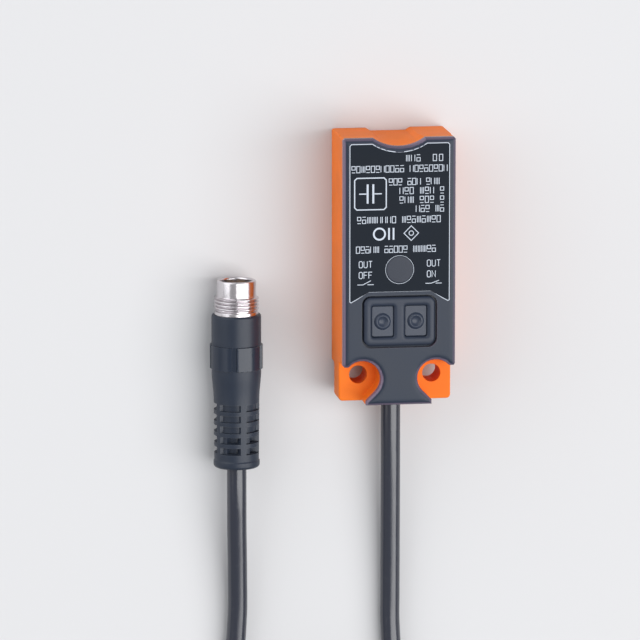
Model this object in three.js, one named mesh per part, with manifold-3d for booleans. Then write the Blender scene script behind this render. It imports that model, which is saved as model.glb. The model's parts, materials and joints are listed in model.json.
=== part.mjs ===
// A block-shaped electronic sensor with two teach keys, on a short cord with a round screw connector.
//
// The sensor lies on its sensing face. Z points up, out of the label, Y runs along the housing
// towards its closed end, and the cord leaves the other end. The origin is the middle of the
// sensing face. Lengths are in millimetres.
import * as THREE from "three";
import { mergeVertices } from "three/addons/utils/BufferGeometryUtils.js";
import Module from "manifold-3d";

const wasm = await Module();
wasm.setup();

// ---------------------------------------------------------------- driving dimensions

const BODY = { width: 20, length: 47.5, height: 14, wall: 1.1, floor: 1.2, corner: 0.35, edge: 0.2 };
const COVER = { thickness: 1.4, round: 0.45, roundSteps: 2, ribDepth: 1.5, ribWall: 0.7 };
const SCOOP = { halfWidth: 4.6, depth: 1.5, backDepth: 0.3 }; // concave thumb scoop at the closed end
const NOTCH = { topWidth: 8, floorWidth: 6.3, depth: 0.55 };
const LUG = { spacing: 13.06, holeRadius: 1.6, fromEnd: 4.7, bottom: 3, top: 8.7, corner: 0.7 };
const POCKET = { radius: 3.25, tabFromEnd: 6.85 }; // round counterbore over each lug
const TAIL = { width: 11.7, bossWidth: 7, bossBottom: 0.6, backStep: 5.9 };
const LABEL = { sideMargin: 1.05, topMargin: 0.86, sink: 0.05, thickness: 0.15, corner: 0.4 };
const LABEL_FOOT = { cornerY: -5.4, middleY: -3.42, halfMiddle: 5.6 };
const WINDOW = { y: 0.45, radius: 2.4, thickness: 0.6 };
const KEYPAD = { width: 12.74, length: 8.7, y: -8.78, corner: 1.3, edge: 0.3, groove: 0.35, seat: 0.45 };
const KEY = { spacing: 5.9, width: 3.9, length: 5.5, sunk: 0.5, plate: 0.45, travel: 0.35 };
const NUB = { radius: 1.3, rise: 0.4, dish: 0.85, dishDepth: 0.22 };
const SEAL = { width: 0.5, height: 0.5 };
const BOARD = { width: 16.6, thickness: 1, bottom: 6, endGap: 0.9 };
const SENSE_BOARD = { width: 14.4, thickness: 0.8 };
const ELECTRODE = { thickness: 0.25, radius: 5.4, ringInner: 6, ringOuter: 6.9, y: 3.4 };
const POST = { radius: 0.9, pinRadius: 0.45, pinRise: 0.4, fromBoardEnd: 1.2, fromBoardSide: 0.9 };
const SWITCH = { size: 3.6, height: 2, stemRadius: 0.8, stemRise: 0.8, stemDepth: 0.5 };
const CABLE = { diameter: 3.5, exitZ: 4.1, wire: 0.9, glandWall: 0.45 };
const COIL = { centreX: -14, centreY: -93, meanRadius: 18, layers: 2, lift: 0.9 };
const TIE = { width: 3, thickness: 0.5 };
const PLUG = { x: -27.7, mouthY: -2.2, z: 4.7, length: 33.6 };

// clearances
const FIT = 0.1; // between neighbours that fit in each other
const GAP = 0.3; // between the cord's pieces and what they meet

const OUTLINE_STEPS = 7; // half the number of straight steps in a pocket's or the scoop's arc

// ---------------------------------------------------------------- values that follow

const halfW = BODY.width / 2;
const endY = BODY.length / 2;
const rimZ = BODY.height - COVER.thickness; // where the cover lies on the housing
const lugX = LUG.spacing / 2;
const lugY = -endY + LUG.fromEnd;
const exitY = -endY;
const cavity = {
  halfW: halfW - BODY.wall,
  top: endY - BODY.wall - SCOOP.depth,
  bottom: lugY + POCKET.radius + BODY.wall + FIT,
};
const cavityY = (cavity.top + cavity.bottom) / 2;
const cavityLength = cavity.top - cavity.bottom;
const boardLength = cavityLength - 2 * BOARD.endGap;
const boardTop = BOARD.bottom + BOARD.thickness;
const senseBoardZ = BODY.floor + ELECTRODE.thickness;
const keyX = KEY.spacing / 2;
const keyTop = BODY.height - KEY.sunk;
const keyBottom = keyTop - KEY.plate;
const seatZ = rimZ + KEYPAD.seat;
const labelBottom = BODY.height - LABEL.sink - LABEL.thickness;
const cableR = CABLE.diameter / 2;
const channelHalfW = cableR + CABLE.glandWall; // of the channel that the cord's gland fills
const channelFloor = CABLE.exitZ - cableR - 4 * FIT;
const postPlaces = [-1, 1].flatMap((sx) =>
  [-1, 1].map((sy) => [
    sx * (BOARD.width / 2 - POST.fromBoardSide),
    cavityY + sy * (boardLength / 2 - POST.fromBoardEnd),
  ]),
);

// ---------------------------------------------------------------- solids from geometry

// A closed mesh as a solid: only positions are kept, and shared vertices are merged.
function solidOf(geometry) {
  const bare = new THREE.BufferGeometry();
  bare.setAttribute("position", geometry.getAttribute("position"));
  bare.setIndex(geometry.index);
  const merged = mergeVertices(bare, 1e-4);
  const mesh = new wasm.Mesh({
    numProp: 3,
    vertProperties: new Float32Array(merged.attributes.position.array),
    triVerts: new Uint32Array(merged.index.array),
  });
  return new wasm.Manifold(mesh);
}

function geometryOf(solid) {
  const mesh = solid.getMesh();
  const geometry = new THREE.BufferGeometry();
  geometry.setAttribute("position", new THREE.BufferAttribute(mesh.vertProperties, 3));
  geometry.setIndex(new THREE.BufferAttribute(mesh.triVerts, 1));
  geometry.computeVertexNormals();
  return geometry;
}

// A plan shape raised from one height to another, its edges rounded off by `edge` at both faces, in
// `edgeSteps` steps. Each arc of the shape gets twice `curveSegments` straight steps.
function prism(shape, bottom, top, edge = 0, curveSegments = 3, edgeSteps = 1) {
  const geometry = new THREE.ExtrudeGeometry(shape, {
    depth: top - bottom - 2 * edge,
    curveSegments,
    bevelEnabled: edge > 0,
    bevelSize: edge,
    bevelThickness: edge,
    bevelOffset: -edge,
    bevelSegments: edgeSteps,
  });
  return solidOf(geometry.translate(0, 0, bottom + edge));
}

function rectangle(x, y, width, length, corner = 0) {
  const shape = new THREE.Shape();
  const [x0, x1, y0, y1] = [x - width / 2, x + width / 2, y - length / 2, y + length / 2];
  if (!corner) {
    return shape.moveTo(x0, y0).lineTo(x1, y0).lineTo(x1, y1).lineTo(x0, y1);
  }
  const q = Math.PI / 2;
  shape.moveTo(x0 + corner, y0);
  shape.lineTo(x1 - corner, y0).absarc(x1 - corner, y0 + corner, corner, -q, 0, false);
  shape.lineTo(x1, y1 - corner).absarc(x1 - corner, y1 - corner, corner, 0, q, false);
  shape.lineTo(x0 + corner, y1).absarc(x0 + corner, y1 - corner, corner, q, 2 * q, false);
  shape.lineTo(x0, y0 + corner).absarc(x0 + corner, y0 + corner, corner, 2 * q, 3 * q, false);
  return shape;
}

function block(x, y, width, length, bottom, top, corner = 0) {
  return prism(rectangle(x, y, width, length, corner), bottom, top);
}

// An upright cylinder.
function drum(x, y, radius, bottom, top, sides = 24) {
  const geometry = new THREE.CylinderGeometry(radius, radius, top - bottom, sides);
  geometry.rotateX(Math.PI / 2).translate(x, y, (top + bottom) / 2);
  return solidOf(geometry);
}

// A cylinder lying along Y.
function rod(x, z, radius, fromY, toY, sides = 24) {
  const geometry = new THREE.CylinderGeometry(radius, radius, toY - fromY, sides);
  return solidOf(geometry.translate(x, (toY + fromY) / 2, z));
}

// A profile of [radius, along] points turned about Y; `along` runs from the plug's mouth backwards.
function turned(profile, sides = 24) {
  const points = profile.map(([radius, along]) => new THREE.Vector2(radius, -along));
  return solidOf(new THREE.LatheGeometry(points.reverse(), sides));
}

// A round tube through a list of points.
function tube(points, diameter, sides, steps) {
  const path = new THREE.CatmullRomCurve3(points.map((p) => new THREE.Vector3(...p)));
  const section = new THREE.Shape();
  for (let i = 0; i < sides; i += 1) {
    const angle = (2 * Math.PI * i) / sides;
    const [x, y] = [(Math.cos(angle) * diameter) / 2, (Math.sin(angle) * diameter) / 2];
    if (i === 0) section.moveTo(x, y);
    else section.lineTo(x, y);
  }
  return solidOf(new THREE.ExtrudeGeometry(section, { steps, extrudePath: path }));
}

const union = (solids) => solids.reduce((sum, next) => sum.add(next));
const mirrored = (make) => union([make(-1), make(1)]);

// ---------------------------------------------------------------- the object's group

const sensor = new THREE.Group();

function place(parent, name, solid, color, roughness, metalness = 0) {
  const material = new THREE.MeshStandardMaterial({ color, roughness, metalness });
  const mesh = new THREE.Mesh(geometryOf(solid), material);
  mesh.name = name;
  parent.add(mesh);
  return mesh;
}

const COLOR = {
  orange: 0xe86e22,
  slate: 0x4b5160,
  foil: 0x2b323b,
  smoke: 0x6d727a,
  black: 0x23272d,
  rubber: 0x30343a,
  nickel: 0xc9c6c8,
  gold: 0xd9b25a,
  copper: 0xb87333,
  board: 0x1f6b3a,
  chip: 0x17181a,
  ceramic: 0x9a7f5a,
};

// ---------------------------------------------------------------- plan outline of cover and housing

// The outline that the cover and the upper housing share: a rectangle with the scoop in its closed
// end, and at the other end a tail between two round pockets. `inset` shrinks it all round.
function bodyOutline(inset, withScoop) {
  const w = halfW - inset;
  const top = endY - inset;
  const tabY = -endY + POCKET.tabFromEnd + inset;
  const tail = TAIL.width / 2 - inset;
  const bottom = -endY + inset;
  const r = POCKET.radius + inset;
  const tabAngle = Math.asin((tabY - lugY) / r);
  const diagonal = Math.PI / 4;
  const tangentX = lugX - r * Math.cos(diagonal);
  const tangentY = lugY - r * Math.sin(diagonal);
  const flareY = tangentY - (tail - tangentX);
  const c = BODY.corner;
  const shape = new THREE.Shape();
  shape.moveTo(-tail, bottom).lineTo(tail, bottom).lineTo(tail, flareY);
  shape.lineTo(tangentX, tangentY);
  shape.absarc(lugX, lugY, r, Math.PI + diagonal, tabAngle, true);
  shape.lineTo(w - c, tabY).lineTo(w, tabY + c);
  shape.lineTo(w, top - c).lineTo(w - c, top);
  if (withScoop) {
    const radius = scoopRadius(SCOOP.depth) + inset;
    const centreY = endY - SCOOP.depth + scoopRadius(SCOOP.depth);
    const start = Math.asin((top - centreY) / radius);
    shape.lineTo(radius * Math.cos(start), top);
    shape.absarc(0, centreY, radius, start, -Math.PI - start, true);
  }
  shape.lineTo(-w + c, top).lineTo(-w, top - c);
  shape.lineTo(-w, tabY + c).lineTo(-w + c, tabY);
  shape.absarc(-lugX, lugY, r, Math.PI - tabAngle, -diagonal, true);
  shape.lineTo(-tail, flareY);
  return shape;
}

function scoopRadius(depth) {
  return (SCOOP.halfWidth ** 2 + depth ** 2) / (2 * depth);
}

// ---------------------------------------------------------------- housing

// The scoop's hollow: a round bar whose axis leans, so that it cuts deepest under the cover.
function scoopCutter() {
  const radius = scoopRadius(SCOOP.depth);
  const frontY = endY - SCOOP.depth + radius;
  const backY = endY - SCOOP.backDepth + radius;
  const lean = Math.atan2(backY - frontY, rimZ - LUG.bottom);
  const length = 3 * BODY.height;
  const geometry = new THREE.CylinderGeometry(radius, radius, length, 96);
  geometry.rotateX(Math.PI / 2).rotateX(lean).translate(0, frontY, rimZ);
  return solidOf(geometry).subtract(block(0, endY, BODY.width, BODY.length, -length, LUG.bottom));
}

function notchCutter() {
  const [wide, narrow] = [NOTCH.topWidth / 2, NOTCH.floorWidth / 2];
  const shape = new THREE.Shape();
  shape.moveTo(-narrow, endY - NOTCH.depth).lineTo(narrow, endY - NOTCH.depth);
  shape.lineTo(wide, endY).lineTo(wide, endY + 1).lineTo(-wide, endY + 1).lineTo(-wide, endY);
  return prism(shape, -1, BODY.height);
}

function housingShell() {
  const backY = -endY + TAIL.backStep;
  const lugLength = 2 * LUG.fromEnd + POCKET.radius;
  let shell = union([
    prism(bodyOutline(0, false), LUG.bottom, rimZ, 0, OUTLINE_STEPS),
    prism(rectangle(0, (endY + backY) / 2, BODY.width, endY - backY, BODY.corner), 0, LUG.top, BODY.edge),
    prism(
      rectangle(0, -endY + lugLength / 2, BODY.width, lugLength, LUG.corner),
      LUG.bottom,
      LUG.top,
      BODY.edge,
    ),
    block(0, -endY + TAIL.backStep, TAIL.bossWidth, 2 * TAIL.backStep, TAIL.bossBottom, LUG.top, BODY.corner),
  ]);
  const rebate = 2 * (SEAL.width + FIT / 2);
  const channelTop = cavity.bottom + BODY.wall;
  const channelLength = channelTop + endY - BODY.wall;
  shell = shell
    .subtract(block(0, cavityY, 2 * cavity.halfW, cavityLength, BODY.floor, BODY.height))
    .subtract(
      block(0, cavityY, 2 * cavity.halfW + rebate, cavityLength + rebate, rimZ - SEAL.height, BODY.height),
    )
    .subtract(
      block(0, channelTop - channelLength / 2, 2 * channelHalfW, channelLength, channelFloor, BODY.height),
    )
    .subtract(rod(0, CABLE.exitZ, cableR + FIT / 2, exitY - 1, exitY + BODY.wall + 1, 20))
    .subtract(scoopCutter())
    .subtract(notchCutter());
  shell = shell.subtract(mirrored((side) => drum(side * lugX, lugY, LUG.holeRadius, 0, BODY.height, 32)));
  for (const [x, y] of postPlaces) {
    shell = shell.add(drum(x, y, POST.radius, BODY.floor - FIT, BOARD.bottom, 12));
    shell = shell.add(drum(x, y, POST.pinRadius, BODY.floor, boardTop + POST.pinRise, 8));
  }
  return shell;
}

place(sensor, "housing_shell", housingShell(), COLOR.orange, 0.45);

// ---------------------------------------------------------------- cover, seal, label and window

// The label's outline: it follows the cover's edges and scoop, and its foot steps up over the keypad.
function labelOutline(inset) {
  const w = halfW - LABEL.sideMargin - inset;
  const top = endY - LABEL.topMargin - inset;
  const c = LABEL.corner;
  const radius = scoopRadius(SCOOP.depth) + LABEL.topMargin + inset;
  const centreY = endY - SCOOP.depth + scoopRadius(SCOOP.depth);
  const start = Math.asin((top - centreY) / radius);
  const middle = LABEL_FOOT.halfMiddle;
  const shape = new THREE.Shape();
  shape.moveTo(-middle, LABEL_FOOT.middleY + inset).lineTo(middle, LABEL_FOOT.middleY + inset);
  shape.lineTo(w - c, LABEL_FOOT.cornerY + inset).lineTo(w, LABEL_FOOT.cornerY + c + inset);
  shape.lineTo(w, top - c).lineTo(w - c, top);
  shape.lineTo(radius * Math.cos(start), top);
  shape.absarc(0, centreY, radius, start, -Math.PI - start, true);
  shape.lineTo(-w + c, top).lineTo(-w, top - c);
  shape.lineTo(-w, LABEL_FOOT.cornerY + c + inset).lineTo(-w + c, LABEL_FOOT.cornerY + inset);
  return shape;
}

function keypadOutline(grow) {
  const [w, l] = [KEYPAD.width + 2 * grow, KEYPAD.length + 2 * grow];
  return rectangle(0, KEYPAD.y, w, l, KEYPAD.corner + grow);
}

function keyWindows(grow, bottom, top) {
  return mirrored((side) =>
    block(side * keyX, KEYPAD.y, KEY.width + 2 * grow, KEY.length + 2 * grow, bottom, top, 0.2),
  );
}

function frontCover() {
  const ribOuter = 2 * (cavity.halfW - FIT);
  const ribInner = ribOuter - 2 * COVER.ribWall;
  const ribLength = cavityLength - 2 * FIT;
  const rib = block(0, cavityY, ribOuter, ribLength, rimZ - COVER.ribDepth, rimZ + FIT).subtract(
    block(0, cavityY, ribInner, ribLength - 2 * COVER.ribWall, 0, BODY.height),
  );
  const outline = bodyOutline(0, true);
  return prism(outline, rimZ - COVER.round, BODY.height, COVER.round, OUTLINE_STEPS, COVER.roundSteps)
    .subtract(block(0, 0, 2 * BODY.width, 2 * BODY.length, 0, rimZ))
    .add(rib)
    .subtract(prism(labelOutline(-FIT / 2), labelBottom, BODY.height + 1, 0, OUTLINE_STEPS))
    .subtract(drum(0, WINDOW.y, WINDOW.radius + FIT / 2, 0, BODY.height + 1, 32))
    .subtract(prism(keypadOutline(KEYPAD.groove), seatZ, BODY.height + 1))
    .subtract(keyWindows(FIT, 0, BODY.height));
}

function coverSeal() {
  const width = 2 * cavity.halfW;
  const grow = 2 * SEAL.width;
  return block(0, cavityY, width + grow, cavityLength + grow, rimZ - SEAL.height, rimZ).subtract(
    block(0, cavityY, width, cavityLength, 0, BODY.height),
  );
}

place(sensor, "front_cover", frontCover(), COLOR.slate, 0.5);
place(sensor, "cover_seal", coverSeal(), COLOR.rubber, 0.8);

const label = prism(labelOutline(0), labelBottom, BODY.height - LABEL.sink, 0, OUTLINE_STEPS).subtract(
  drum(0, WINDOW.y, WINDOW.radius + FIT / 2, 0, BODY.height, 32),
);
place(sensor, "label_plate", label, COLOR.foil, 0.4);

const windowTop = BODY.height - LABEL.sink;
const windowBottom = windowTop - WINDOW.thickness;
const ledWindow = drum(0, WINDOW.y, WINDOW.radius, windowBottom, windowTop, 32);
place(sensor, "led_window", ledWindow, COLOR.smoke, 0.35);

// ---------------------------------------------------------------- keypad

const keypadFrame = prism(keypadOutline(0), seatZ, BODY.height, KEYPAD.edge).subtract(
  keyWindows(0, 0, BODY.height + 1),
);
place(sensor, "keypad_frame", keypadFrame, COLOR.slate, 0.55);

// A key: a flat plate, with a round nub that has a dish for the fingertip.
function keyPlate() {
  const plate = block(0, 0, KEY.width - 2 * FIT, KEY.length - 2 * FIT, keyBottom, keyTop, 0.2);
  const nub = drum(0, 0, NUB.radius, keyTop - FIT, keyTop + NUB.rise, 24);
  const dish = drum(0, 0, NUB.dish, keyTop + NUB.rise - NUB.dishDepth, BODY.height + 1, 24);
  return plate.add(nub).subtract(dish);
}

// The pin under a key carries the press down to the switch's stem.
const switchTop = boardTop + SWITCH.height;
const stemTop = switchTop + SWITCH.stemRise;

function keyActuator() {
  return drum(0, 0, 1.1, keyBottom - 0.6, keyBottom, 16).add(
    drum(0, 0, SWITCH.stemRadius, stemTop + FIT / 2, keyBottom - 0.5, 16),
  );
}

function switchStem() {
  return drum(0, 0, SWITCH.stemRadius, switchTop - SWITCH.stemDepth, stemTop, 16);
}

function switchBody() {
  const bore = SWITCH.stemDepth + KEY.travel + FIT;
  return block(0, 0, SWITCH.size, SWITCH.size, boardTop, switchTop).subtract(
    drum(0, 0, SWITCH.stemRadius + FIT / 2, switchTop - bore, BODY.height, 16),
  );
}

for (const [side, hand] of [
  [-1, "left"],
  [1, "right"],
]) {
  const column = new THREE.Group();
  column.position.set(side * keyX, KEYPAD.y, 0);
  sensor.add(column);
  place(column, `key_${hand}`, keyPlate(), COLOR.slate, 0.55);
  place(column, `key_actuator_${hand}`, keyActuator(), COLOR.black, 0.5);
  place(column, `switch_stem_${hand}`, switchStem(), COLOR.black, 0.5);
  place(column, `switch_body_${hand}`, switchBody(), COLOR.nickel, 0.4, 0.8);
}

// ---------------------------------------------------------------- boards and sensing electrode

function mainBoard() {
  let board = block(0, cavityY, BOARD.width, boardLength, BOARD.bottom, boardTop);
  for (const [x, y] of postPlaces) {
    board = board.subtract(drum(x, y, POST.pinRadius + FIT, 0, BODY.height, 8));
  }
  return board;
}

const senseY = ELECTRODE.y;
const senseLength = boardLength - 2 * (POST.fromBoardEnd + POST.radius + FIT);
const electrodeTop = BODY.floor + ELECTRODE.thickness;
const guardRing = drum(0, senseY, ELECTRODE.ringOuter, BODY.floor, electrodeTop, 40).subtract(
  drum(0, senseY, ELECTRODE.ringInner, 0, BODY.height, 40),
);
const senseBoard = block(
  0,
  cavityY,
  SENSE_BOARD.width,
  senseLength,
  senseBoardZ,
  senseBoardZ + SENSE_BOARD.thickness,
);
const electrode = drum(0, senseY, ELECTRODE.radius, BODY.floor, electrodeTop, 40);
place(sensor, "main_board", mainBoard(), COLOR.board, 0.5);
place(sensor, "sensing_board", senseBoard, COLOR.board, 0.5);
place(sensor, "sensing_electrode", electrode, COLOR.copper, 0.35, 1);
place(sensor, "guard_ring", guardRing, COLOR.copper, 0.35, 1);

const contactPins = { signal: 0, guard: (ELECTRODE.ringInner + ELECTRODE.ringOuter) / 2 };
for (const [job, x] of Object.entries(contactPins)) {
  const pin = drum(x, senseY, 0.4, senseBoardZ + SENSE_BOARD.thickness, BOARD.bottom, 10);
  place(sensor, `contact_pin_${job}`, pin, COLOR.gold, 0.3, 1);
}

// ---------------------------------------------------------------- light path

const ledHeight = 0.9;
const guideBottom = boardTop + ledHeight + GAP;
const lightGuide = drum(0, WINDOW.y, WINDOW.radius - 0.2, guideBottom, windowBottom, 24);
place(sensor, "light_guide", lightGuide, 0xdfe6ea, 0.1);

const LEDS = [
  ["led_yellow", -1.1, 0xf2c230],
  ["led_green", 1.1, 0x49b85a],
];
for (const [name, x, color] of LEDS) {
  place(sensor, name, block(x, WINDOW.y, 0.8, 1.6, boardTop, boardTop + ledHeight), color, 0.3);
}

// ---------------------------------------------------------------- components on the main board

// They share the room between the board's closed end and the indicator window.
const boardEndY = cavityY + boardLength / 2;
const componentRoom = boardEndY - WINDOW.y;

// [name, x, share of the room from the board's closed end, width, length, height, colour]
const COMPONENTS = [
  ["controller_chip", -3.2, 0.66, 5, 5, 0.9, COLOR.chip],
  ["voltage_regulator", 4.4, 0.67, 4.5, 2.5, 1.5, COLOR.chip],
  ["output_transistor_1", -5.6, 0.22, 2.9, 1.4, 1.1, COLOR.chip],
  ["output_transistor_2", -1.8, 0.22, 2.9, 1.4, 1.1, COLOR.chip],
  ["protection_diode", 2.4, 0.22, 2.6, 1.5, 1.1, COLOR.chip],
  ["bulk_capacitor", 5.6, 0.38, 3.5, 2.8, 1.9, 0xc9a13a],
  ["capacitor_1", -6.2, 0.41, 1.6, 0.8, 0.8, COLOR.ceramic],
  ["capacitor_2", 1.2, 0.68, 0.8, 1.6, 0.8, COLOR.ceramic],
  ["resistor_1", -2.6, 0.41, 1.6, 0.8, 0.5, COLOR.chip],
  ["resistor_2", 1.2, 0.41, 1.6, 0.8, 0.5, COLOR.chip],
];
for (const [name, x, share, width, length, height, color] of COMPONENTS) {
  const y = boardEndY - share * componentRoom;
  place(sensor, name, block(x, y, width, length, boardTop, boardTop + height), color, 0.5);
}

// ---------------------------------------------------------------- cord entry inside the housing

const glandTop = cavity.bottom - 1.2;
const crimpTop = cavity.bottom - GAP;
const glandBore = rod(0, CABLE.exitZ, cableR + FIT / 2, -endY, endY, 20);
const gland = block(
  0,
  (glandTop - endY + BODY.wall + FIT) / 2,
  2 * (channelHalfW - FIT / 2),
  glandTop + endY - BODY.wall - FIT,
  channelFloor + FIT / 2,
  rimZ - COVER.ribDepth - FIT,
).subtract(glandBore);
place(sensor, "cable_gland", gland, COLOR.rubber, 0.8);

const crimpRadius = channelHalfW - FIT;
const crimp = rod(0, CABLE.exitZ, crimpRadius, glandTop + FIT, crimpTop, 20).subtract(glandBore);
place(sensor, "crimp_ring", crimp, COLOR.nickel, 0.35, 1);
place(sensor, "cable_entry", rod(0, CABLE.exitZ, cableR, exitY, crimpTop, 16), COLOR.rubber, 0.6);

const wirePitch = CABLE.wire * 0.7;
// [name, side and height of the wire in the cord, place of its pad across the board, colour]
const WIRES = [
  ["brown", -1, 1, -4.8, 0x6b3d20],
  ["white", -1, -1, -1.6, 0xe8e6e0],
  ["blue", 1, -1, 1.6, 0x2a54a8],
  ["black", 1, 1, 4.8, 0x1c1c1e],
];
const padY = cavityY - boardLength / 2 + 2.6;
for (const [name, sideX, sideZ, padX, color] of WIRES) {
  const startX = sideX * wirePitch;
  const z = CABLE.exitZ + sideZ * wirePitch;
  const route = [
    [startX, crimpTop + FIT, z],
    [startX * 1.3, crimpTop + 1, z],
    [padX, padY - 0.4, z + 0.3],
    [padX, padY, BOARD.bottom - FIT],
  ];
  place(sensor, `conductor_${name}`, tube(route, CABLE.wire, 8, 8), color, 0.5);
}

// ---------------------------------------------------------------- free cord

// The cord lies on the surface. Each run is a list of points along its middle.
const layZ = cableR + FIT / 2;
const sensorRun = [
  [0, exitY - GAP, CABLE.exitZ],
  [0, -29, 4.05],
  [0.06, -36, 3.7],
  [0.15, -44, 3.1],
  [0.23, -52, 2.5],
  [0.3, -60, 2],
  [0.5, -66, layZ],
  [1.2, -71, layZ],
  [2.6, -76.4, layZ],
  [3.7, -80.2, 2.2],
];
const plugRun = [
  [-31.7, -80.2, 2.2],
  [-30.4, -76, layZ],
  [-28.6, -70.5, 1.95],
  [-27.5, -63, 2.3],
  [-27.45, -55, 3.1],
  [-27.6, -47, 4],
  [-27.68, -41.5, 4.55],
  [PLUG.x, PLUG.mouthY - PLUG.length - GAP, PLUG.z],
];
place(sensor, "cable_run_sensor", tube(sensorRun, CABLE.diameter, 8, 24), COLOR.rubber, 0.6);
place(sensor, "cable_run_plug", tube(plugRun, CABLE.diameter, 8, 20), COLOR.rubber, 0.6);

// The coil's outer shape: turns stacked on each other.
function cableCoil() {
  const [inner, outer] = [COIL.meanRadius - cableR, COIL.meanRadius + cableR];
  const [low, high] = [COIL.lift, COIL.lift + COIL.layers * CABLE.diameter];
  const c = cableR / 2;
  const profile = [
    [inner, low + c],
    [inner + c, low],
    [outer - c, low],
    [outer, low + c],
    [outer, high - c],
    [outer - c, high],
    [inner + c, high],
    [inner, high - c],
    [inner, low + c],
  ];
  const geometry = new THREE.LatheGeometry(
    profile.map(([r, z]) => new THREE.Vector2(r, z)),
    36,
  );
  return solidOf(geometry.rotateX(Math.PI / 2).translate(COIL.centreX, COIL.centreY, 0));
}

// A band round the coil, on the side away from the sensor.
function cableTie() {
  const [inner, outer] = [COIL.meanRadius - cableR - GAP, COIL.meanRadius + cableR + GAP];
  const [low, high] = [COIL.lift - GAP, COIL.lift + COIL.layers * CABLE.diameter + GAP];
  const t = TIE.thickness;
  const y = COIL.centreY - (inner + outer) / 2;
  const hole = block(COIL.centreX, y, TIE.width + 2, outer - inner, low, high, 0);
  return block(COIL.centreX, y, TIE.width, outer - inner + 2 * t, low - t, high + t, 0).subtract(hole);
}

place(sensor, "cable_coil", cableCoil(), COLOR.rubber, 0.6);
place(sensor, "cable_tie", cableTie(), COLOR.black, 0.7);

// ---------------------------------------------------------------- round screw connector

const plug = new THREE.Group();
plug.position.set(PLUG.x, PLUG.mouthY, PLUG.z);
sensor.add(plug);

// All places along the plug are measured from its mouth backwards.
const SLEEVE = { tip: 3.5, thread: 4, collar: 3.9, bore: 2.75, threadFrom: 3.1, threadTo: 5.2, end: 9.5 };
const GRIP = { front: 6.1, nose: 4.4, band: 4.7, bandFrom: 11.5, bandTo: 15.8, neck: 4.05, neckFrom: 21 };
const GRIP_END = { collarLength: 1.4, round: 0.5 };
const WINDOWS = { from: 21.95, pitch: 1.94, rows: 5, columns: 5, turn: 25, length: 1.15, width: 3.6, depth: 1.1 };

// The sleeve: chamfered tip, three thread crests and a plain collar that runs into the grip.
function plugSleeve() {
  const crests = 3;
  const pitch = (SLEEVE.threadTo - SLEEVE.threadFrom) / crests;
  const root = SLEEVE.thread - 0.35;
  const profile = [
    [SLEEVE.bore, 0],
    [SLEEVE.tip - 0.3, 0],
    [SLEEVE.tip, 0.4],
    [SLEEVE.tip, SLEEVE.threadFrom - 0.3],
  ];
  for (let i = 0; i < crests; i += 1) {
    const along = SLEEVE.threadFrom + i * pitch;
    profile.push([root, along], [SLEEVE.thread, along + 0.25 * pitch]);
    profile.push([SLEEVE.thread, along + 0.7 * pitch], [root, along + 0.95 * pitch]);
  }
  profile.push([SLEEVE.collar, SLEEVE.threadTo + 0.25], [SLEEVE.collar, SLEEVE.end]);
  profile.push([SLEEVE.bore, SLEEVE.end]);
  profile.push([SLEEVE.bore, 0]);
  return turned(profile);
}

// The insert that holds the pins sits back inside the sleeve.
const INSERT = { front: 5, end: 13.5, radius: SLEEVE.bore - FIT / 2 };
const PIN = { radius: 0.5, circle: 1.35, tip: 1.6, hole: 0.55 };
const pinAngles = [45, 135, 225, 315].map(THREE.MathUtils.degToRad);
const pinPlaces = pinAngles.map((a) => [PIN.circle * Math.cos(a), PIN.circle * Math.sin(a)]);

function plugInsert() {
  let insert = turned([
    [0, INSERT.front],
    [INSERT.radius, INSERT.front],
    [INSERT.radius, INSERT.end],
    [0, INSERT.end],
  ]);
  for (const [x, z] of pinPlaces) {
    insert = insert.subtract(rod(x, z, PIN.hole, -INSERT.end + 1, 0, 12));
  }
  return insert;
}

function plugGrip() {
  const end = PLUG.length;
  const neckEnd = end - GRIP_END.collarLength;
  const bore = SLEEVE.collar + FIT / 2;
  let grip = turned([
    [bore, GRIP.front],
    [GRIP.nose - 0.3, GRIP.front],
    [GRIP.nose, GRIP.front + 0.3],
    [GRIP.nose, GRIP.bandFrom - 0.2],
    [GRIP.band, GRIP.bandFrom],
    [GRIP.band, GRIP.bandTo],
    [GRIP.nose - 0.05, GRIP.bandTo + 0.2],
    [GRIP.neck, GRIP.neckFrom],
    [GRIP.neck - 0.1, neckEnd],
    [GRIP.neck + 0.05, neckEnd + 0.2],
    [GRIP.neck + 0.05, end - GRIP_END.round],
    [GRIP.neck - GRIP_END.round, end],
    [0, end],
    [0, INSERT.end + FIT],
    [bore, INSERT.end + FIT],
    [bore, GRIP.front],
  ]);
  for (let row = 0; row < WINDOWS.rows; row += 1) {
    const along = WINDOWS.from + (row + 0.5) * WINDOWS.pitch;
    for (let column = 0; column < WINDOWS.columns; column += 1) {
      const angle = (2 * Math.PI * column) / WINDOWS.columns - THREE.MathUtils.degToRad(WINDOWS.turn);
      const slot = new THREE.BoxGeometry(WINDOWS.width, WINDOWS.length, 2 * WINDOWS.depth);
      slot.translate(0, -along, GRIP.neck).rotateY(angle);
      grip = grip.subtract(solidOf(slot));
    }
  }
  return grip;
}

place(plug, "plug_grip", plugGrip(), COLOR.black, 0.55);
place(plug, "plug_sleeve", plugSleeve(), COLOR.nickel, 0.3, 1);
place(plug, "plug_insert", plugInsert(), COLOR.black, 0.6);
pinPlaces.forEach(([x, z], i) => {
  place(plug, `plug_pin_${i + 1}`, rod(x, z, PIN.radius, -INSERT.end + 2, -PIN.tip, 12), COLOR.gold, 0.25, 1);
});

export default sensor;
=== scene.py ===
# %% [markdown]
# # A block sensor with teach keys, on a short cord with a screw plug
#
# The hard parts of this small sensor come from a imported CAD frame, and this lesson gives them their
# looks: rounded edges, printed label, soft keypad, turned and moulded plug, a real cord, and a
# procedural finish on everything. The frame could be modelled again from nothing, but then keys and
# mounts would no longer fit, so each new piece takes its place from the frame's own boxes.

import json
import math
import random

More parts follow.
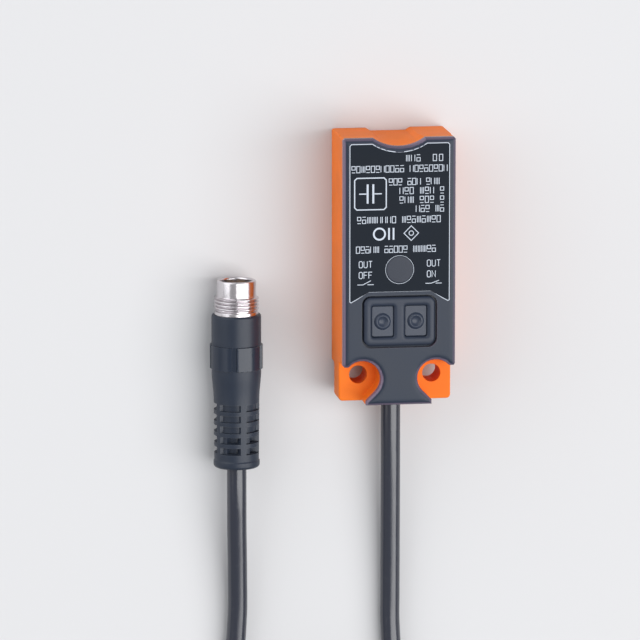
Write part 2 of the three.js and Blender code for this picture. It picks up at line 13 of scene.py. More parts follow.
import bmesh
import bpy
from mathutils import Matrix, Vector


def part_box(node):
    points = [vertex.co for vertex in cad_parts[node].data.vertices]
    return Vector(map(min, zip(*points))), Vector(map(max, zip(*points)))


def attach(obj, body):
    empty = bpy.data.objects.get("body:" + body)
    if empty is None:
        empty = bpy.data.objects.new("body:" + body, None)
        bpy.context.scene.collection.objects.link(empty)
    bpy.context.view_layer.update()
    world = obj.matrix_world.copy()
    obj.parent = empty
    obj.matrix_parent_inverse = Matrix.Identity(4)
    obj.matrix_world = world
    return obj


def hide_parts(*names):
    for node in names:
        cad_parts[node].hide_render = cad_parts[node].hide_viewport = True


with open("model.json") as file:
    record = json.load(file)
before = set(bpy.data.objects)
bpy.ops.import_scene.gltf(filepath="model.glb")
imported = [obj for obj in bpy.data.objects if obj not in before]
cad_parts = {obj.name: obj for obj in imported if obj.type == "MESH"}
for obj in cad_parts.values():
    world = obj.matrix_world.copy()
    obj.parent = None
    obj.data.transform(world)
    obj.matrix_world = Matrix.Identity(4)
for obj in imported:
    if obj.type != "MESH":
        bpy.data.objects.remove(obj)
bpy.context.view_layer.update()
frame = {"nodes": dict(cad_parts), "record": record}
NODES = frame["nodes"]
MM = 0.001

# %% [markdown]
# ## Camera
#
# The sensor and its plug lie side by side, seen from above with a long lens that stands a little to
# the left and towards the closed end. A long lens keeps parallel edges nearly parallel, which is what
# makes a small product look like a product and not like a building. The camera's
# upright axis follows the object's length, so that its long sides run up the picture.

# %% Camera
CAMERA_PLACE = Vector((-164.8, 175.5, 1038.8)) * MM
CAMERA_TARGET = Vector((-13.1, -9.4, 7.0)) * MM
LENS = 337.5  # in millimetres
SENSOR_WIDTH = 36
UP_THE_PICTURE = Vector((0, 1, 0))


def add_camera(place, target, lens):
    data = bpy.data.cameras.new("camera")
    data.lens = lens
    data.sensor_width = SENSOR_WIDTH
    data.clip_start = 0.05
    data.clip_end = 5
    camera = bpy.data.objects.new("camera", data)
    camera.location = place
    camera.rotation_mode = "QUATERNION"
    ahead = (target - place).normalized()
    right = ahead.cross(UP_THE_PICTURE).normalized()
    axes = Matrix((right, right.cross(ahead), -ahead)).transposed()
    camera.rotation_quaternion = axes.to_quaternion()
    bpy.context.scene.collection.objects.link(camera)
    bpy.context.scene.camera = camera


add_camera(CAMERA_PLACE, CAMERA_TARGET, LENS)
print("camera is", round((CAMERA_TARGET - CAMERA_PLACE).length, 3), "m from the object")

# %% [markdown]
# ## Cord
#
# The cord is one round PVC cable, 3.5 mm thick and 0.3 m long. It leaves the housing straight, comes
# down to the table in a long bow, runs on, and what is left over is wound into one and a half turns
# before it comes back up to the plug. A mesh tube would do, but a Bezier curve with a bevel keeps the
# section round in every bend and can be measured along its own line. The straight stretches are points
# listed one by one. The coil is a loop over its angle: the second turn climbs onto the first over a
# quarter turn, in a long low hump.

# %% Cord route
CORD_DIAMETER = 3.5
COIL_CENTRE = (-14, -93)
COIL_RADIUS = 18
LAY_HEIGHT = 1.8  # of the cord's middle, where it lies on the table
COIL_HEIGHT = 2.65  # of the lower turn's middle, over the tie
SENSOR_RUN = [
    (0, -24.05, 4.1),
    (0, -29, 4.05),
    (0.06, -36, 3.7),
    (0.15, -44, 3.1),
    (0.23, -52, 2.5),
    (0.3, -60, 2),
    (0.36, -66, LAY_HEIGHT),
    (0.85, -71.2, LAY_HEIGHT),
    (2.6, -76.4, LAY_HEIGHT),
    (3.6, -82.5, 2.2),
    (4, -88, 2.5),
]
PLUG_RUN = [
    (-32, -88, 5.9),
    (-31.9, -83, 4.7),
    (-30.9, -77.5, 2.6),
    (-28.1, -71.2, 1.95),
    (-27.4, -65, 2.2),
    (-27.4, -55, 3.1),
    (-27.6, -47, 4),
    (-27.68, -41.5, 4.55),
    (-27.7, -36.1, 4.7),
]


def smooth_step(share):
    share = min(1, max(0, share))
    return share * share * (3 - 2 * share)


def coil_points(turned_to=540, step=20, climb_from=235, climb_to=350):
    """One and a half turns, clockwise from the sensor's side. Angles are in degrees."""
    points = []
    for turned in range(0, turned_to + 1, step):
        angle = -math.radians(turned)
        rise = CORD_DIAMETER * smooth_step((turned - climb_from) / (climb_to - climb_from))
        x = COIL_CENTRE[0] + COIL_RADIUS * math.cos(angle)
        y = COIL_CENTRE[1] + COIL_RADIUS * math.sin(angle)
        points.append((x, y, COIL_HEIGHT + rise))
    return points


def make_cord(name, points, diameter):
    curve = bpy.data.curves.new(name, "CURVE")
    curve.dimensions = "3D"
    curve.bevel_depth = diameter / 2 * MM
    curve.bevel_resolution = 7
    curve.resolution_u = 6
    curve.use_fill_caps = True
    spline = curve.splines.new("BEZIER")
    spline.bezier_points.add(len(points) - 1)
    for point, place in zip(spline.bezier_points, points):
        point.co = Vector(place) * MM
        point.handle_left_type = point.handle_right_type = "AUTO"
    cord = bpy.data.objects.new(name, curve)
    bpy.context.scene.collection.objects.link(cord)
    return cord


cord = make_cord("cord", SENSOR_RUN + coil_points() + PLUG_RUN, CORD_DIAMETER)
print("cord:", len(cord.data.splines[0].bezier_points), "points")

# %% [markdown]
# ## Table and light
#
# A plain pale table, one large soft lamp to the right, a weaker fill from the left and a pale world.
# Black plastic shows its form only by what it mirrors, so the lamp is a large area lamp: it draws the
# long soft streak down the plug and the cord. A point lamp would give a hard dot in its place.

# %% Table and light
TABLE_SIZE = 4
TABLE_COLOR = (0.6, 0.6, 0.61, 1)
TABLE_ROUGHNESS = 0.8
LAMP_DISTANCE = 2.2
WORLD_COLOR = (0.97, 0.98, 1)
WORLD_STRENGTH = 0.44


def add_table():
    mesh = bpy.data.meshes.new("table")
    bm = bmesh.new()
    bmesh.ops.create_grid(bm, x_segments=1, y_segments=1, size=TABLE_SIZE / 2)
    bm.to_mesh(mesh)
    bm.free()
    table = bpy.data.objects.new("table", mesh)
    bpy.context.scene.collection.objects.link(table)
    surface = bpy.data.materials.new("table top")
    surface.use_nodes = True
    shader = surface.node_tree.nodes["Principled BSDF"]
    shader.inputs["Base Color"].default_value = TABLE_COLOR
    shader.inputs["Roughness"].default_value = TABLE_ROUGHNESS
    mesh.materials.append(surface)


def add_area_lamp(name, direction, width, height, power, color=(1, 1, 1)):
    """A rectangular lamp that looks at the object from `direction`."""
    data = bpy.data.lights.new(name, "AREA")
    data.shape = "RECTANGLE"
    data.size = width
    data.size_y = height
    data.energy = power
    data.color = color
    lamp = bpy.data.objects.new(name, data)
    lamp.visible_camera = False
    away = Vector(direction).normalized()
    lamp.location = CAMERA_TARGET + away * LAMP_DISTANCE
    lamp.rotation_mode = "QUATERNION"
    lamp.rotation_quaternion = (-away).to_track_quat("-Z", "Y")
    bpy.context.scene.collection.objects.link(lamp)


def add_world():
    world = bpy.data.worlds.new("world")
    world.use_nodes = True
    background = world.node_tree.nodes["Background"]
    background.inputs["Color"].default_value = (*WORLD_COLOR, 1)
    background.inputs["Strength"].default_value = WORLD_STRENGTH
    bpy.context.scene.world = world


add_table()
add_area_lamp("key_lamp", (0.6, -0.1, 1.0), width=1.5, height=2.8, power=56)
add_area_lamp("fill_lamp", (-1.0, 0.6, 0.45), width=3.4, height=2.6, power=42, color=(0.96, 0.98, 1))
add_world()
bpy.context.scene.view_settings.view_transform = "Standard"
print("table and lamps are in place")

# %% [markdown]
# ## Writing finishes as sums
#
# A finish is a small graph of shader nodes. Drawn by hand it is hard to read back, so `Val` wraps a
# socket and overloads the arithmetic signs: `0.4 + 0.1 * grain` adds its own Math nodes. Every other
# node comes from `Finish.node`, which takes the node's type, its settings and its sockets. Colours go
# through Mix nodes, since a Math node would turn them grey.


# %% Socket arithmetic
class Val:
    """A shader socket that takes part in Python arithmetic."""

    def __init__(self, finish, socket):
        self.finish = finish
        self.socket = socket

    def math(self, operation, *operands):
        """A Math node on the operands, or on this socket alone."""
        sockets = dict(enumerate(operands or (self,)))
        made = self.finish.node("ShaderNodeMath", {"operation": operation}, sockets)
        return Val(self.finish, made.outputs[0])

    def __add__(self, other):
        return self.math("ADD", self, other)

    def __sub__(self, other):
        return self.math("SUBTRACT", self, other)

    def __mul__(self, other):
        return self.math("MULTIPLY", self, other)

    def __truediv__(self, other):
        return self.math("DIVIDE", self, other)

    __radd__ = __add__
    __rmul__ = __mul__

    def ramp(self, low, high):
        """0 below `low`, 1 above `high` and smooth between them; `low` may be the larger one."""
        sockets = {0: self, 1: low, 2: high, 3: 0, 4: 1}
        made = self.finish.node("ShaderNodeMapRange", {"interpolation_type": "SMOOTHSTEP"}, sockets)
        return Val(self.finish, made.outputs[0])


class Finish:
    """One procedural material: a Principled shader and the nodes that feed it."""

    def __init__(self, name, **constants):
        self.material = bpy.data.materials.new(name)
        self.material.use_nodes = True
        self.tree = self.material.node_tree
        self.shader = self.tree.nodes["Principled BSDF"]
        self.coords = Val(self, self.node("ShaderNodeTexCoord").outputs["Object"])
        for constant, value in constants.items():
            socket = constant.replace("_", " ").title().replace("Ior", "IOR")
            self.shader.inputs[socket].default_value = value

    def node(self, kind, settings=None, sockets=None):
        made = self.tree.nodes.new(kind)
        for name, value in (settings or {}).items():
            setattr(made, name, value)
        for name, value in (sockets or {}).items():
            self.feed(made.inputs[name], value)
        return made

    def feed(self, socket, value):
        if isinstance(value, Val):
            self.tree.links.new(value.socket, socket)
        else:
            socket.default_value = value

    def axes(self):
        """The object coordinates X, Y and Z, in millimetres."""
        made = self.node("ShaderNodeSeparateXYZ", {}, {0: self.coords})
        return [Val(self, output) / MM for output in made.outputs]

    def grain(self, size, detail=2.0, stretch=(1, 1, 1)):
        """Noise from 0 to 1 whose spots are about `size` millimetres."""
        placed = self.node("ShaderNodeMapping", {}, {"Vector": self.coords, "Scale": stretch})
        sockets = {"Vector": Val(self, placed.outputs[0]), "Scale": 1 / (size * MM), "Detail": detail}
        return Val(self, self.node("ShaderNodeTexNoise", {}, sockets).outputs["Fac"])

    def mix(self, share, first, second):
        """A colour between two, each a colour of three numbers or another mix."""
        first, second = [c if isinstance(c, Val) else (*c, 1) for c in (first, second)]
        made = self.node("ShaderNodeMix", {"data_type": "RGBA"}, {0: share, 6: first, 7: second})
        return Val(self, made.outputs[2])

    def bump(self, height, depth, strength=1.0):
        """A Normal from a height of 0 to 1 that stands for `depth` millimetres."""
        sockets = {"Height": height, "Distance": depth * MM, "Strength": strength}
        return Val(self, self.node("ShaderNodeBump", {}, sockets).outputs[0])

    def edges(self, radius):
        """Near 1 along edges and 0 on flats, from how far the rounded normal leans."""
        rounded = self.node("ShaderNodeBevel", {"samples": 6}, {"Radius": radius * MM}).outputs[0]
        true = self.node("ShaderNodeNewGeometry").outputs["True Normal"]
        settings = {"operation": "DOT_PRODUCT"}
        sockets = {0: Val(self, rounded), 1: Val(self, true)}
        product = self.node("ShaderNodeVectorMath", settings, sockets).outputs["Value"]
        return Val(self, product).ramp(0.995, 0.8)

    def wear(self, color=None, roughness=None, metallic=None, normal=None):
        """Feeds the shader's sockets that may vary over the surface."""
        fed = {"Base Color": color, "Roughness": roughness, "Metallic": metallic, "Normal": normal}
        for name, value in fed.items():
            if value is not None:
                self.feed(self.shader.inputs[name], value)
        return self.material


print("shader helpers are ready")

# %% [markdown]
# ## Moulded plastics and rubbers
#
# Housing, cover, grip and keys are all moulded, so one recipe serves them: a colour that drifts a
# little from the mould's flow, the fine spark-eroded grain of the tool, and edges that handling has
# polished. Painting the wear by hand would look richer on one side only. The Bevel node finds every
# edge by itself, because it compares the rounded normal with the true one.


# %% Moulded plastic recipe
CLOUD_SIZE = 7
EDGE_ROUND = 0.22
SPECK_SHARE = 0.25


def shade(color, factor):
    return tuple(min(1, channel * factor) for channel in color)


def polished(color):
    """The colour of an edge that hands have rubbed: paler, and greyer."""
    return tuple(0.75 * channel + 0.12 for channel in color)


def moulded(name, color, roughness, grain=0.14, depth=0.004, polish=0.25, **constants):
    """Cloudy colour, grain spots of `grain` mm that are `depth` mm deep, and paler polished edges."""
    finish = Finish(name, **constants)
    clouds = finish.grain(CLOUD_SIZE, 3)
    specks = finish.grain(grain, 2)
    edge = finish.edges(EDGE_ROUND)
    tone = finish.mix(clouds.ramp(0.3, 0.7), shade(color, 0.93), shade(color, 1.06))
    tone = finish.mix(specks.ramp(0.35, 0.75) * SPECK_SHARE, tone, shade(color, 0.8))
    finish.tone = finish.mix(edge * polish, tone, polished(color))
    finish.gloss = roughness + 0.16 * (specks - 0.5) + 0.1 * (clouds - 0.5) - 0.06 * edge
    finish.wear(finish.tone, finish.gloss, normal=finish.bump(specks, depth))
    return finish


ORANGE = (0.85, 0.185, 0.018)
SLATE = (0.011, 0.019, 0.037)
KEYPAD = (0.019, 0.027, 0.047)
KEY_FACE = (0.026, 0.035, 0.058)
GRIP_BLACK = (0.015, 0.022, 0.038)
FLAT_BLACK = (0.02, 0.02, 0.023)
finishes = {
    "orange_plastic": moulded(
        "orange plastic", ORANGE, 0.5, depth=0.003, polish=0.15, specular_ior_level=0.12
    ).material,
    "slate_plastic": moulded("slate plastic", SLATE, 0.36, depth=0.003, specular_ior_level=0.27),
    "keypad_rubber": moulded(
        "keypad rubber", KEYPAD, 0.45, grain=0.1, polish=0.15, specular_ior_level=0.35
    ).material,
    "key_face": moulded("key face", KEY_FACE, 0.34, grain=0.1, specular_ior_level=0.35).material,
    "plug_plastic": moulded("plug plastic", GRIP_BLACK, 0.42, grain=0.2, specular_ior_level=0.35),
    "black_plastic": moulded("black plastic", FLAT_BLACK, 0.5).material,
    "seal_rubber": moulded("seal rubber", FLAT_BLACK, 0.7, grain=0.3, depth=0.01).material,
    "chip_black": moulded("chip resin", (0.016, 0.016, 0.018), 0.55, grain=0.06, depth=0.002).material,
    "ceramic_tan": moulded("ceramic", (0.36, 0.25, 0.13), 0.5, grain=0.05, depth=0.002).material,
}
print("moulded finishes:", ", ".join(finishes))

# %% [markdown]
# Two of these plastics change from place to place, so their recipe goes on here. The cover's rim is
# glossier than its flat, and is painted paler in a purple tint as a painted highlight on the rounded
# rim.
# Where the rim faces left it is painted paler still, as a painted highlight of light from the left. The
# finish finds the rim by the direction in which the surface faces. The plug's finger pads come from a
# polished part of the mould. Separate pieces would do it too, but would show a seam.

# %% Rim and finger pads
# The pale purple of the painted rim highlight.
RIM_HIGHLIGHT_TINT = (0.19, 0.14, 0.2)
RIM_GLOSS = 0.12
PAD_GLOSS = 0.22
PLUG_MOUTH_Y = -2.2
PAD_FROM = 11.5  # the band of pads, measured along the plug from its mouth
PAD_TO = 15.8
PAD_FADE = 0.05

slate = finishes["slate_plastic"]
facing = Val(slate, slate.node("ShaderNodeTexCoord").outputs["Normal"])
facing_parts = slate.node("ShaderNodeSeparateXYZ", {}, {0: facing})
# Painted highlight: faces that turn away from the top, as on the rounded rim, are mixed towards a pale
# purple, more strongly where they face left.
rim = Val(slate, facing_parts.outputs["Z"]).ramp(0.99, 0.8)
lit_left_side = Val(slate, facing_parts.outputs["X"]).ramp(-0.05, -0.45)
painted_rim_highlight = slate.mix(rim * (0.5 + 0.4 * lit_left_side), slate.tone, RIM_HIGHLIGHT_TINT)
finishes["slate_plastic"] = slate.wear(painted_rim_highlight, slate.gloss - RIM_GLOSS * rim)

grip_plastic = finishes["plug_plastic"]
along_y = grip_plastic.axes()[1]
pads_low = PLUG_MOUTH_Y - PAD_TO
pads_high = PLUG_MOUTH_Y - PAD_FROM
pads = along_y.ramp(pads_low - PAD_FADE, pads_low + PAD_FADE)
pads *= along_y.ramp(pads_high + PAD_FADE, pads_high - PAD_FADE)
finishes["plug_plastic"] = grip_plastic.wear(roughness=grip_plastic.gloss - PAD_GLOSS * pads)
print("the pads lie from", pads_low, "to", pads_high, "mm along Y")

# %% [markdown]
# ## Metals
#
# The sleeve is turned brass with nickel on it, so its finish has the fine rings that a lathe tool
# leaves, worked out from the distance along the plug. Pins are gold-plated, the crimp and the switch
# cans tin-plated sheet, and the electrode is etched copper. They share one recipe, in which a cloudy
# tarnish dulls some of the gloss: clean metal with one roughness looks like a computer's metal.


# %% Metal recipe
RING_PITCH = 0.11


def metal(name, color, roughness, tarnish, rings=0.0):
    """Plated metal; `rings` is the depth in mm of turning marks round an axis along Y."""
    finish = Finish(name)
    clouds = finish.grain(1.6, 4)
    scratches = finish.grain(0.05, 2, stretch=(1, 0.05, 1))
    tone = finish.mix(clouds.ramp(0.4, 0.75) * 0.35, color, tarnish)
    height = scratches
    if rings:
        along = finish.axes()[1]
        height = 0.5 + 0.4 * (along * (2 * math.pi / RING_PITCH)).math("SINE")
    gloss = roughness + 0.12 * (clouds - 0.5) + 0.06 * (scratches - 0.5)
    finish.wear(tone, gloss, metallic=1.0, normal=finish.bump(height, rings or 0.001, 0.6))
    return finish.material


finishes["nickel"] = metal("nickel plate", (0.64, 0.61, 0.63), 0.22, (0.46, 0.42, 0.42), rings=0.0012)
finishes["tin_plate"] = metal("tin plate", (0.6, 0.6, 0.61), 0.35, (0.42, 0.42, 0.43))
finishes["gold"] = metal("gold plate", (0.85, 0.6, 0.25), 0.22, (0.6, 0.4, 0.16))
finishes["copper"] = metal("copper foil", (0.75, 0.36, 0.2), 0.35, (0.4, 0.18, 0.1))
print("metal finishes: nickel, tin plate, gold, copper")

# %% [markdown]
# ## Cable jackets, clear plastics and the circuit board
#
# An extruded jacket has no mould grain. It has faint streaks along its length and a little dust, and
# its gloss is lower where fingers have been. The cord's curve runs mostly along Y, so noise that is
# stretched along Y follows it well enough where the cord shows. The board's finish is solder mask with
# slightly raised tracks under it, made by a brick pattern, whose joints stand for the tracks.


# %% Jackets, clear plastics and board
TRACK_PITCH = 1.1


def extruded(name, color, roughness=0.3):
    finish = Finish(name, specular_ior_level=0.7)
    streaks = finish.grain(0.25, 3, stretch=(1, 0.06, 1))
    dust = finish.grain(0.9, 4)
    dusty = tuple(channel + 0.03 for channel in color)
    tone = finish.mix(dust.ramp(0.55, 0.8) * 0.2, color, dusty)
    gloss = roughness + 0.12 * (dust - 0.5) + 0.1 * (streaks - 0.5)
    return finish.wear(tone, gloss, normal=finish.bump(streaks, 0.004))


def lens(name, color, roughness, transmission, **constants):
    finish = Finish(name, transmission_weight=transmission, ior=1.49, **constants)
    haze = finish.grain(0.2, 3)
    tone = finish.mix(haze.ramp(0.35, 0.7) * 0.6, color, shade(color, 1.6))
    return finish.wear(tone, roughness + 0.1 * (haze - 0.5), normal=finish.bump(haze, 0.002))


def circuit_board(name):
    finish = Finish(name)
    sockets = {"Vector": finish.coords, "Scale": 1 / (TRACK_PITCH * MM), "Mortar Size": 0.08}
    tracks = Val(finish, finish.node("ShaderNodeTexBrick", {}, sockets).outputs["Fac"])
    weave = finish.grain(0.2, 2)
    tone = finish.mix(tracks * 0.8, (0.012, 0.1, 0.035), (0.05, 0.24, 0.09))
    return finish.wear(tone, 0.35 + 0.1 * (weave - 0.5), normal=finish.bump(tracks, 0.03))


finishes["cable_jacket"] = extruded("cable jacket", (0.018, 0.021, 0.034), 0.2)
for wire, color in {
    "brown": (0.15, 0.06, 0.025),
    "white": (0.78, 0.78, 0.75),
    "blue": (0.03, 0.09, 0.4),
    "black": (0.014, 0.014, 0.016),
}.items():
    finishes[f"wire_{wire}"] = extruded(f"wire {wire}", color, 0.42)
finishes["smoke_window"] = lens(
    "smoke window", (0.02, 0.025, 0.038), 0.45, 0.0, specular_ior_level=0.3
)
finishes["clear_plastic"] = lens("clear plastic", (0.85, 0.9, 0.92), 0.12, 0.9)
finishes["led_yellow"] = lens("yellow lens", (0.8, 0.55, 0.05), 0.2, 0.3)
finishes["led_green"] = lens("green lens", (0.1, 0.5, 0.15), 0.2, 0.3)
finishes["circuit_board"] = circuit_board("circuit board")
finishes["label_foil"] = moulded(
    "label foil", (0.004, 0.008, 0.015), 0.5, grain=0.1, polish=0.1, specular_ior_level=0.13
).material
print("finishes in all:", len(finishes))

# %% [markdown]
# ## Finishes for the frame's own nodes
#
# Nodes whose shape is right as it is, most of them inside the housing, stay and only change their
# material. The record says which slot each node has, so one loop over it is enough, and no node can be
# forgotten. Assigning by name, node by node, would be fifty lines that say the same.

# %% Dress the frame
for subpart in frame["record"]["subparts"]:
    node = NODES[subpart["node"]]
    node.data.materials.clear()
    node.data.materials.append(finishes[subpart["material_slot"]])

# %% [markdown]
# ## From the frame's solids to finished meshes
#
# A solid from the frame has the right size but knife edges and coarse arcs. `copy_of` takes a merged
# copy of it, `bevel` rounds its sharp edges, and `add_piece` turns a bmesh into a finished piece: it
# smooths what is round, keeps what is sharp, gives the finish and ties the piece to its body. Modifiers
# could do the bevels, but a bmesh lets each edge be chosen by its place. A flat face beside a bevel
# would look curved, since it shares its corners' normals, so `weigh_normals` gives the larger faces
# the say.


# %% Mesh helpers
SHARP_ANGLE = 50  # faces that meet at less are shaded as one surface


def weigh_normals(mesh):
    """Lets the larger faces set the shading, so that a flat face stays flat right up to its bevels."""
    limit = math.cos(math.radians(SHARP_ANGLE))
    around = [[] for _ in mesh.vertices]
    for face in mesh.polygons:
        for index in face.vertices:
            around[index].append((face.normal.copy(), face.area))
    normals = []
    for face in mesh.polygons:
        for index in face.vertices:
            pairs = around[index]
            near = [normal * area for normal, area in pairs if normal.dot(face.normal) > limit]
            normals.append(sum(near, Vector()).normalized())
    mesh.normals_split_custom_set(normals)


def add_piece(name, bm, slot, body="housing", stands_for=()):
    mesh = bpy.data.meshes.new(name)
    bm.to_mesh(mesh)
    bm.free()
    mesh.shade_smooth()
    mesh.set_sharp_from_angle(angle=math.radians(SHARP_ANGLE))
    weigh_normals(mesh)
    piece = bpy.data.objects.new(name, mesh)
    bpy.context.scene.collection.objects.link(piece)
    mesh.materials.append(finishes[slot])
    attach(piece, body)
    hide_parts(*stands_for)
    print(name, "has", len(mesh.polygons), "faces")
    return piece


def copy_of(node):
    """A merged copy of a frame solid, with its flat faces whole again."""
    bm = bmesh.new()
    bm.from_mesh(NODES[node].data)
    bmesh.ops.remove_doubles(bm, verts=bm.verts, dist=0.003 * MM)
    bmesh.ops.dissolve_limit(bm, angle_limit=math.radians(1), verts=bm.verts, edges=bm.edges)
    return bm


def sharp_edges(bm, above=30):
    return [e for e in bm.edges if e.is_manifold and e.calc_face_angle() > math.radians(above)]


def bevel(bm, edges, width, segments=2):
    shape = {"offset": width * MM, "offset_type": "OFFSET", "segments": segments, "profile": 0.5}
    bmesh.ops.bevel(bm, geom=edges, affect="EDGES", clamp_overlap=False, material=-1, **shape)


def cut_grid(bm, wanted, pitch):
    """Cuts the faces for which `wanted` says yes along X and Y, every `pitch` mm."""
    low, high = [Vector(map(f, *(v.co for v in bm.verts))) for f in (min, max)]
    for axis in (0, 1):
        normal = Vector((axis == 0, axis == 1, 0))
        for step in range(math.ceil(low[axis] / MM / pitch), int(high[axis] / MM / pitch) + 1):
            place = normal * step * pitch * MM
            faces = [f for f in bm.faces if wanted(f)]
            edges = dict.fromkeys(e for f in faces for e in f.edges)
            verts = dict.fromkeys(v for f in faces for v in f.verts)
            parts = [*faces, *edges, *verts]
            bmesh.ops.bisect_plane(bm, geom=parts, plane_co=place, plane_no=normal, dist=0.002 * MM)


# %% [markdown]
# ## Housing
#
# One orange moulding holds everything: a box with two screw lugs, a thumb scoop and a notch at its
# closed end. Its shape is exact in the frame, so the piece is a copy with softened edges. A moulded
# edge is never sharper than about a tenth of a millimetre, and that small round is what catches the
# light.

# %% Housing
HOUSING_ROUND = 0.1
housing = copy_of("housing_shell")
bevel(housing, sharp_edges(housing), HOUSING_ROUND)
add_piece("housing_moulding", housing, "orange_plastic", stands_for=["housing_shell"])

# %% [markdown]
# ## Cover
#
# The grey cover is rounded over all along its rim, almost a millimetre wide, and the rounding runs
# through the scoop and the two pockets. A bevel that wide folds over itself at the narrow tabs beside
# the pockets. So the top is cut into a fine grid, and each point near the rim is lowered by a quarter
# ellipse of its distance from the rim, which is worked out from the cover's own arcs and lines.

# %% Cover outline
cover_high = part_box("front_cover")[1] / MM
HALF_WIDTH = cover_high.x
END_Y = cover_high.y
TOP_Z = cover_high.z
SCOOP_HALF_WIDTH = 4.6
SCOOP_DEPTH = 1.5
LUG_X = 6.53
LUG_Y = -19.05
POCKET_RADIUS = 3.25
TAB_Y = -16.9
TAB_FROM_X = LUG_X + 2.3
TAIL_HALF_WIDTH = 5.85
scoop_radius = (SCOOP_HALF_WIDTH**2 + SCOOP_DEPTH**2) / (2 * SCOOP_DEPTH)
scoop_centre = Vector((0, END_Y - SCOOP_DEPTH + scoop_radius))
pocket_centre = Vector((LUG_X, LUG_Y))
tangent = pocket_centre - Vector((1, 1)).normalized() * POCKET_RADIUS
flare_y = tangent.y - (TAIL_HALF_WIDTH - tangent.x)


def rim_distance(x, y):
    """How far inside the cover's outline a point is, in millimetres."""
    x = abs(x)
    point = Vector((x, y))
    distances = [
        HALF_WIDTH - x,
        END_Y - y,
        y + END_Y,
        (point - scoop_centre).length - scoop_radius,
        (point - pocket_centre).length - POCKET_RADIUS,
    ]
    if y > TAB_Y - 0.1 and x > TAB_FROM_X:
        distances.append(y - TAB_Y)
    if y < flare_y:
        distances.append(TAIL_HALF_WIDTH - x)
    if y < tangent.y:
        distances.append((tangent.x + tangent.y - x - y) / math.sqrt(2))
    return max(0, min(distances))


def rounded_drop(distance, width, height):
    """A quarter ellipse: `height` at the rim, nothing from `width` inwards."""
    share = 1 - min(distance, width) / width
    return height * (1 - math.sqrt(1 - share * share))


print("scoop radius:", round(scoop_radius, 2), "mm")

# %% [markdown]
# The cover's own mesh keeps its sides and its underside. Only the faces of its top are cut into the
# grid, 0.35 mm apart, which is fine enough for the rounding and still only a few thousand faces. A
# height map would give the same shading, but no true silhouette at the corners.

# %% Cover
ROUND_WIDTH = 0.95
ROUND_HEIGHT = 0.6
COVER_PITCH = 0.35
COVER_TOP_FROM = TOP_Z - 0.5
cover = copy_of("front_cover")


def on_cover_top(face):
    return face.normal.z > 0.3 and face.calc_center_median().z > COVER_TOP_FROM * MM


cut_grid(cover, on_cover_top, COVER_PITCH)
for vert in cover.verts:
    x, y, z = vert.co / MM
    if z > COVER_TOP_FROM:
        inside = rim_distance(x, y)
        if inside < ROUND_WIDTH:
            vert.co.z = (TOP_Z - rounded_drop(inside, ROUND_WIDTH, ROUND_HEIGHT)) * MM
add_piece("cover_plate", cover, "slate_plastic", stands_for=["front_cover"])

# %% [markdown]
# ## Label
#
# The label is a dark foil let into the cover, with a fine pale line round it. The foil is the frame's
# own plate with a rounded rim. Its print would usually be a picture on a texture, but here every line
# is a real ribbon of ink a hundredth of a millimetre thick, so it stays sharp however near one looks.


# %% Label foil and strokes
LABEL_TOP = 13.95
LABEL_ROUND = 0.04
INK_BOTTOM = LABEL_TOP - 0.004
INK_TOP = LABEL_TOP + 0.008


def edges_above(bm, height):
    return [e for e in sharp_edges(bm) if min(v.co.z for v in e.verts) > height * MM]


label = copy_of("label_plate")
bevel(label, edges_above(label, LABEL_TOP - 0.05), LABEL_ROUND)
add_piece("label_sheet", label, "label_foil", stands_for=["label_plate"])


def stroke(bm, points, width=0.12, closed=False):
    """A closed ribbon of ink along a line of (x, y) points, with mitred corners."""
    points = [Vector(point) for point in points]
    rings = []
    for number, point in enumerate(points):
        headings = []
        if number > 0 or closed:
            headings.append((point - points[number - 1]).normalized())
        if number < len(points) - 1 or closed:
            headings.append((points[(number + 1) % len(points)] - point).normalized())
        sides = [Vector((-heading.y, heading.x)) for heading in headings]
        mitre = sum(sides, Vector((0, 0))).normalized()
        offset = mitre * width / 2 / max(0.5, mitre.dot(sides[0]))
        corners = [
            (*(point + offset), INK_BOTTOM),
            (*(point + offset), INK_TOP),
            (*(point - offset), INK_TOP),
            (*(point - offset), INK_BOTTOM),
        ]
        rings.append([bm.verts.new(Vector(corner) * MM) for corner in corners])
    pairs = list(zip(rings, rings[1:])) + ([(rings[-1], rings[0])] if closed else [])
    for ring, following in pairs:
        for side in range(4):
            after = (side + 1) % 4
            bm.faces.new((ring[side], ring[after], following[after], following[side]))
    if not closed:
        bm.faces.new(rings[0][::-1])
        bm.faces.new(rings[-1])


def arc(centre, radius, start, end, steps):
    """Points on a circle from `start` to `end` degrees."""
    angles = [math.radians(start + (end - start) * step / steps) for step in range(steps + 1)]
    return [(centre[0] + radius * math.cos(a), centre[1] + radius * math.sin(a)) for a in angles]


def ring(bm, centre, radius, width):
    stroke(bm, arc(centre, radius, 0, 360, 48)[:-1], width, closed=True)


print("ink lies from", INK_BOTTOM, "to", INK_TOP, "mm")

# %% [markdown]
# ## Print on the label
#
# The rows of print are stand-ins. They have the number, length and height of a data plate's rows, but
# their characters are boxes and bars that spell nothing, and plain geometric signs take the place of
# approval marks. Only the words that say what each key does are readable: output on, output off, each
# over its switch symbol.

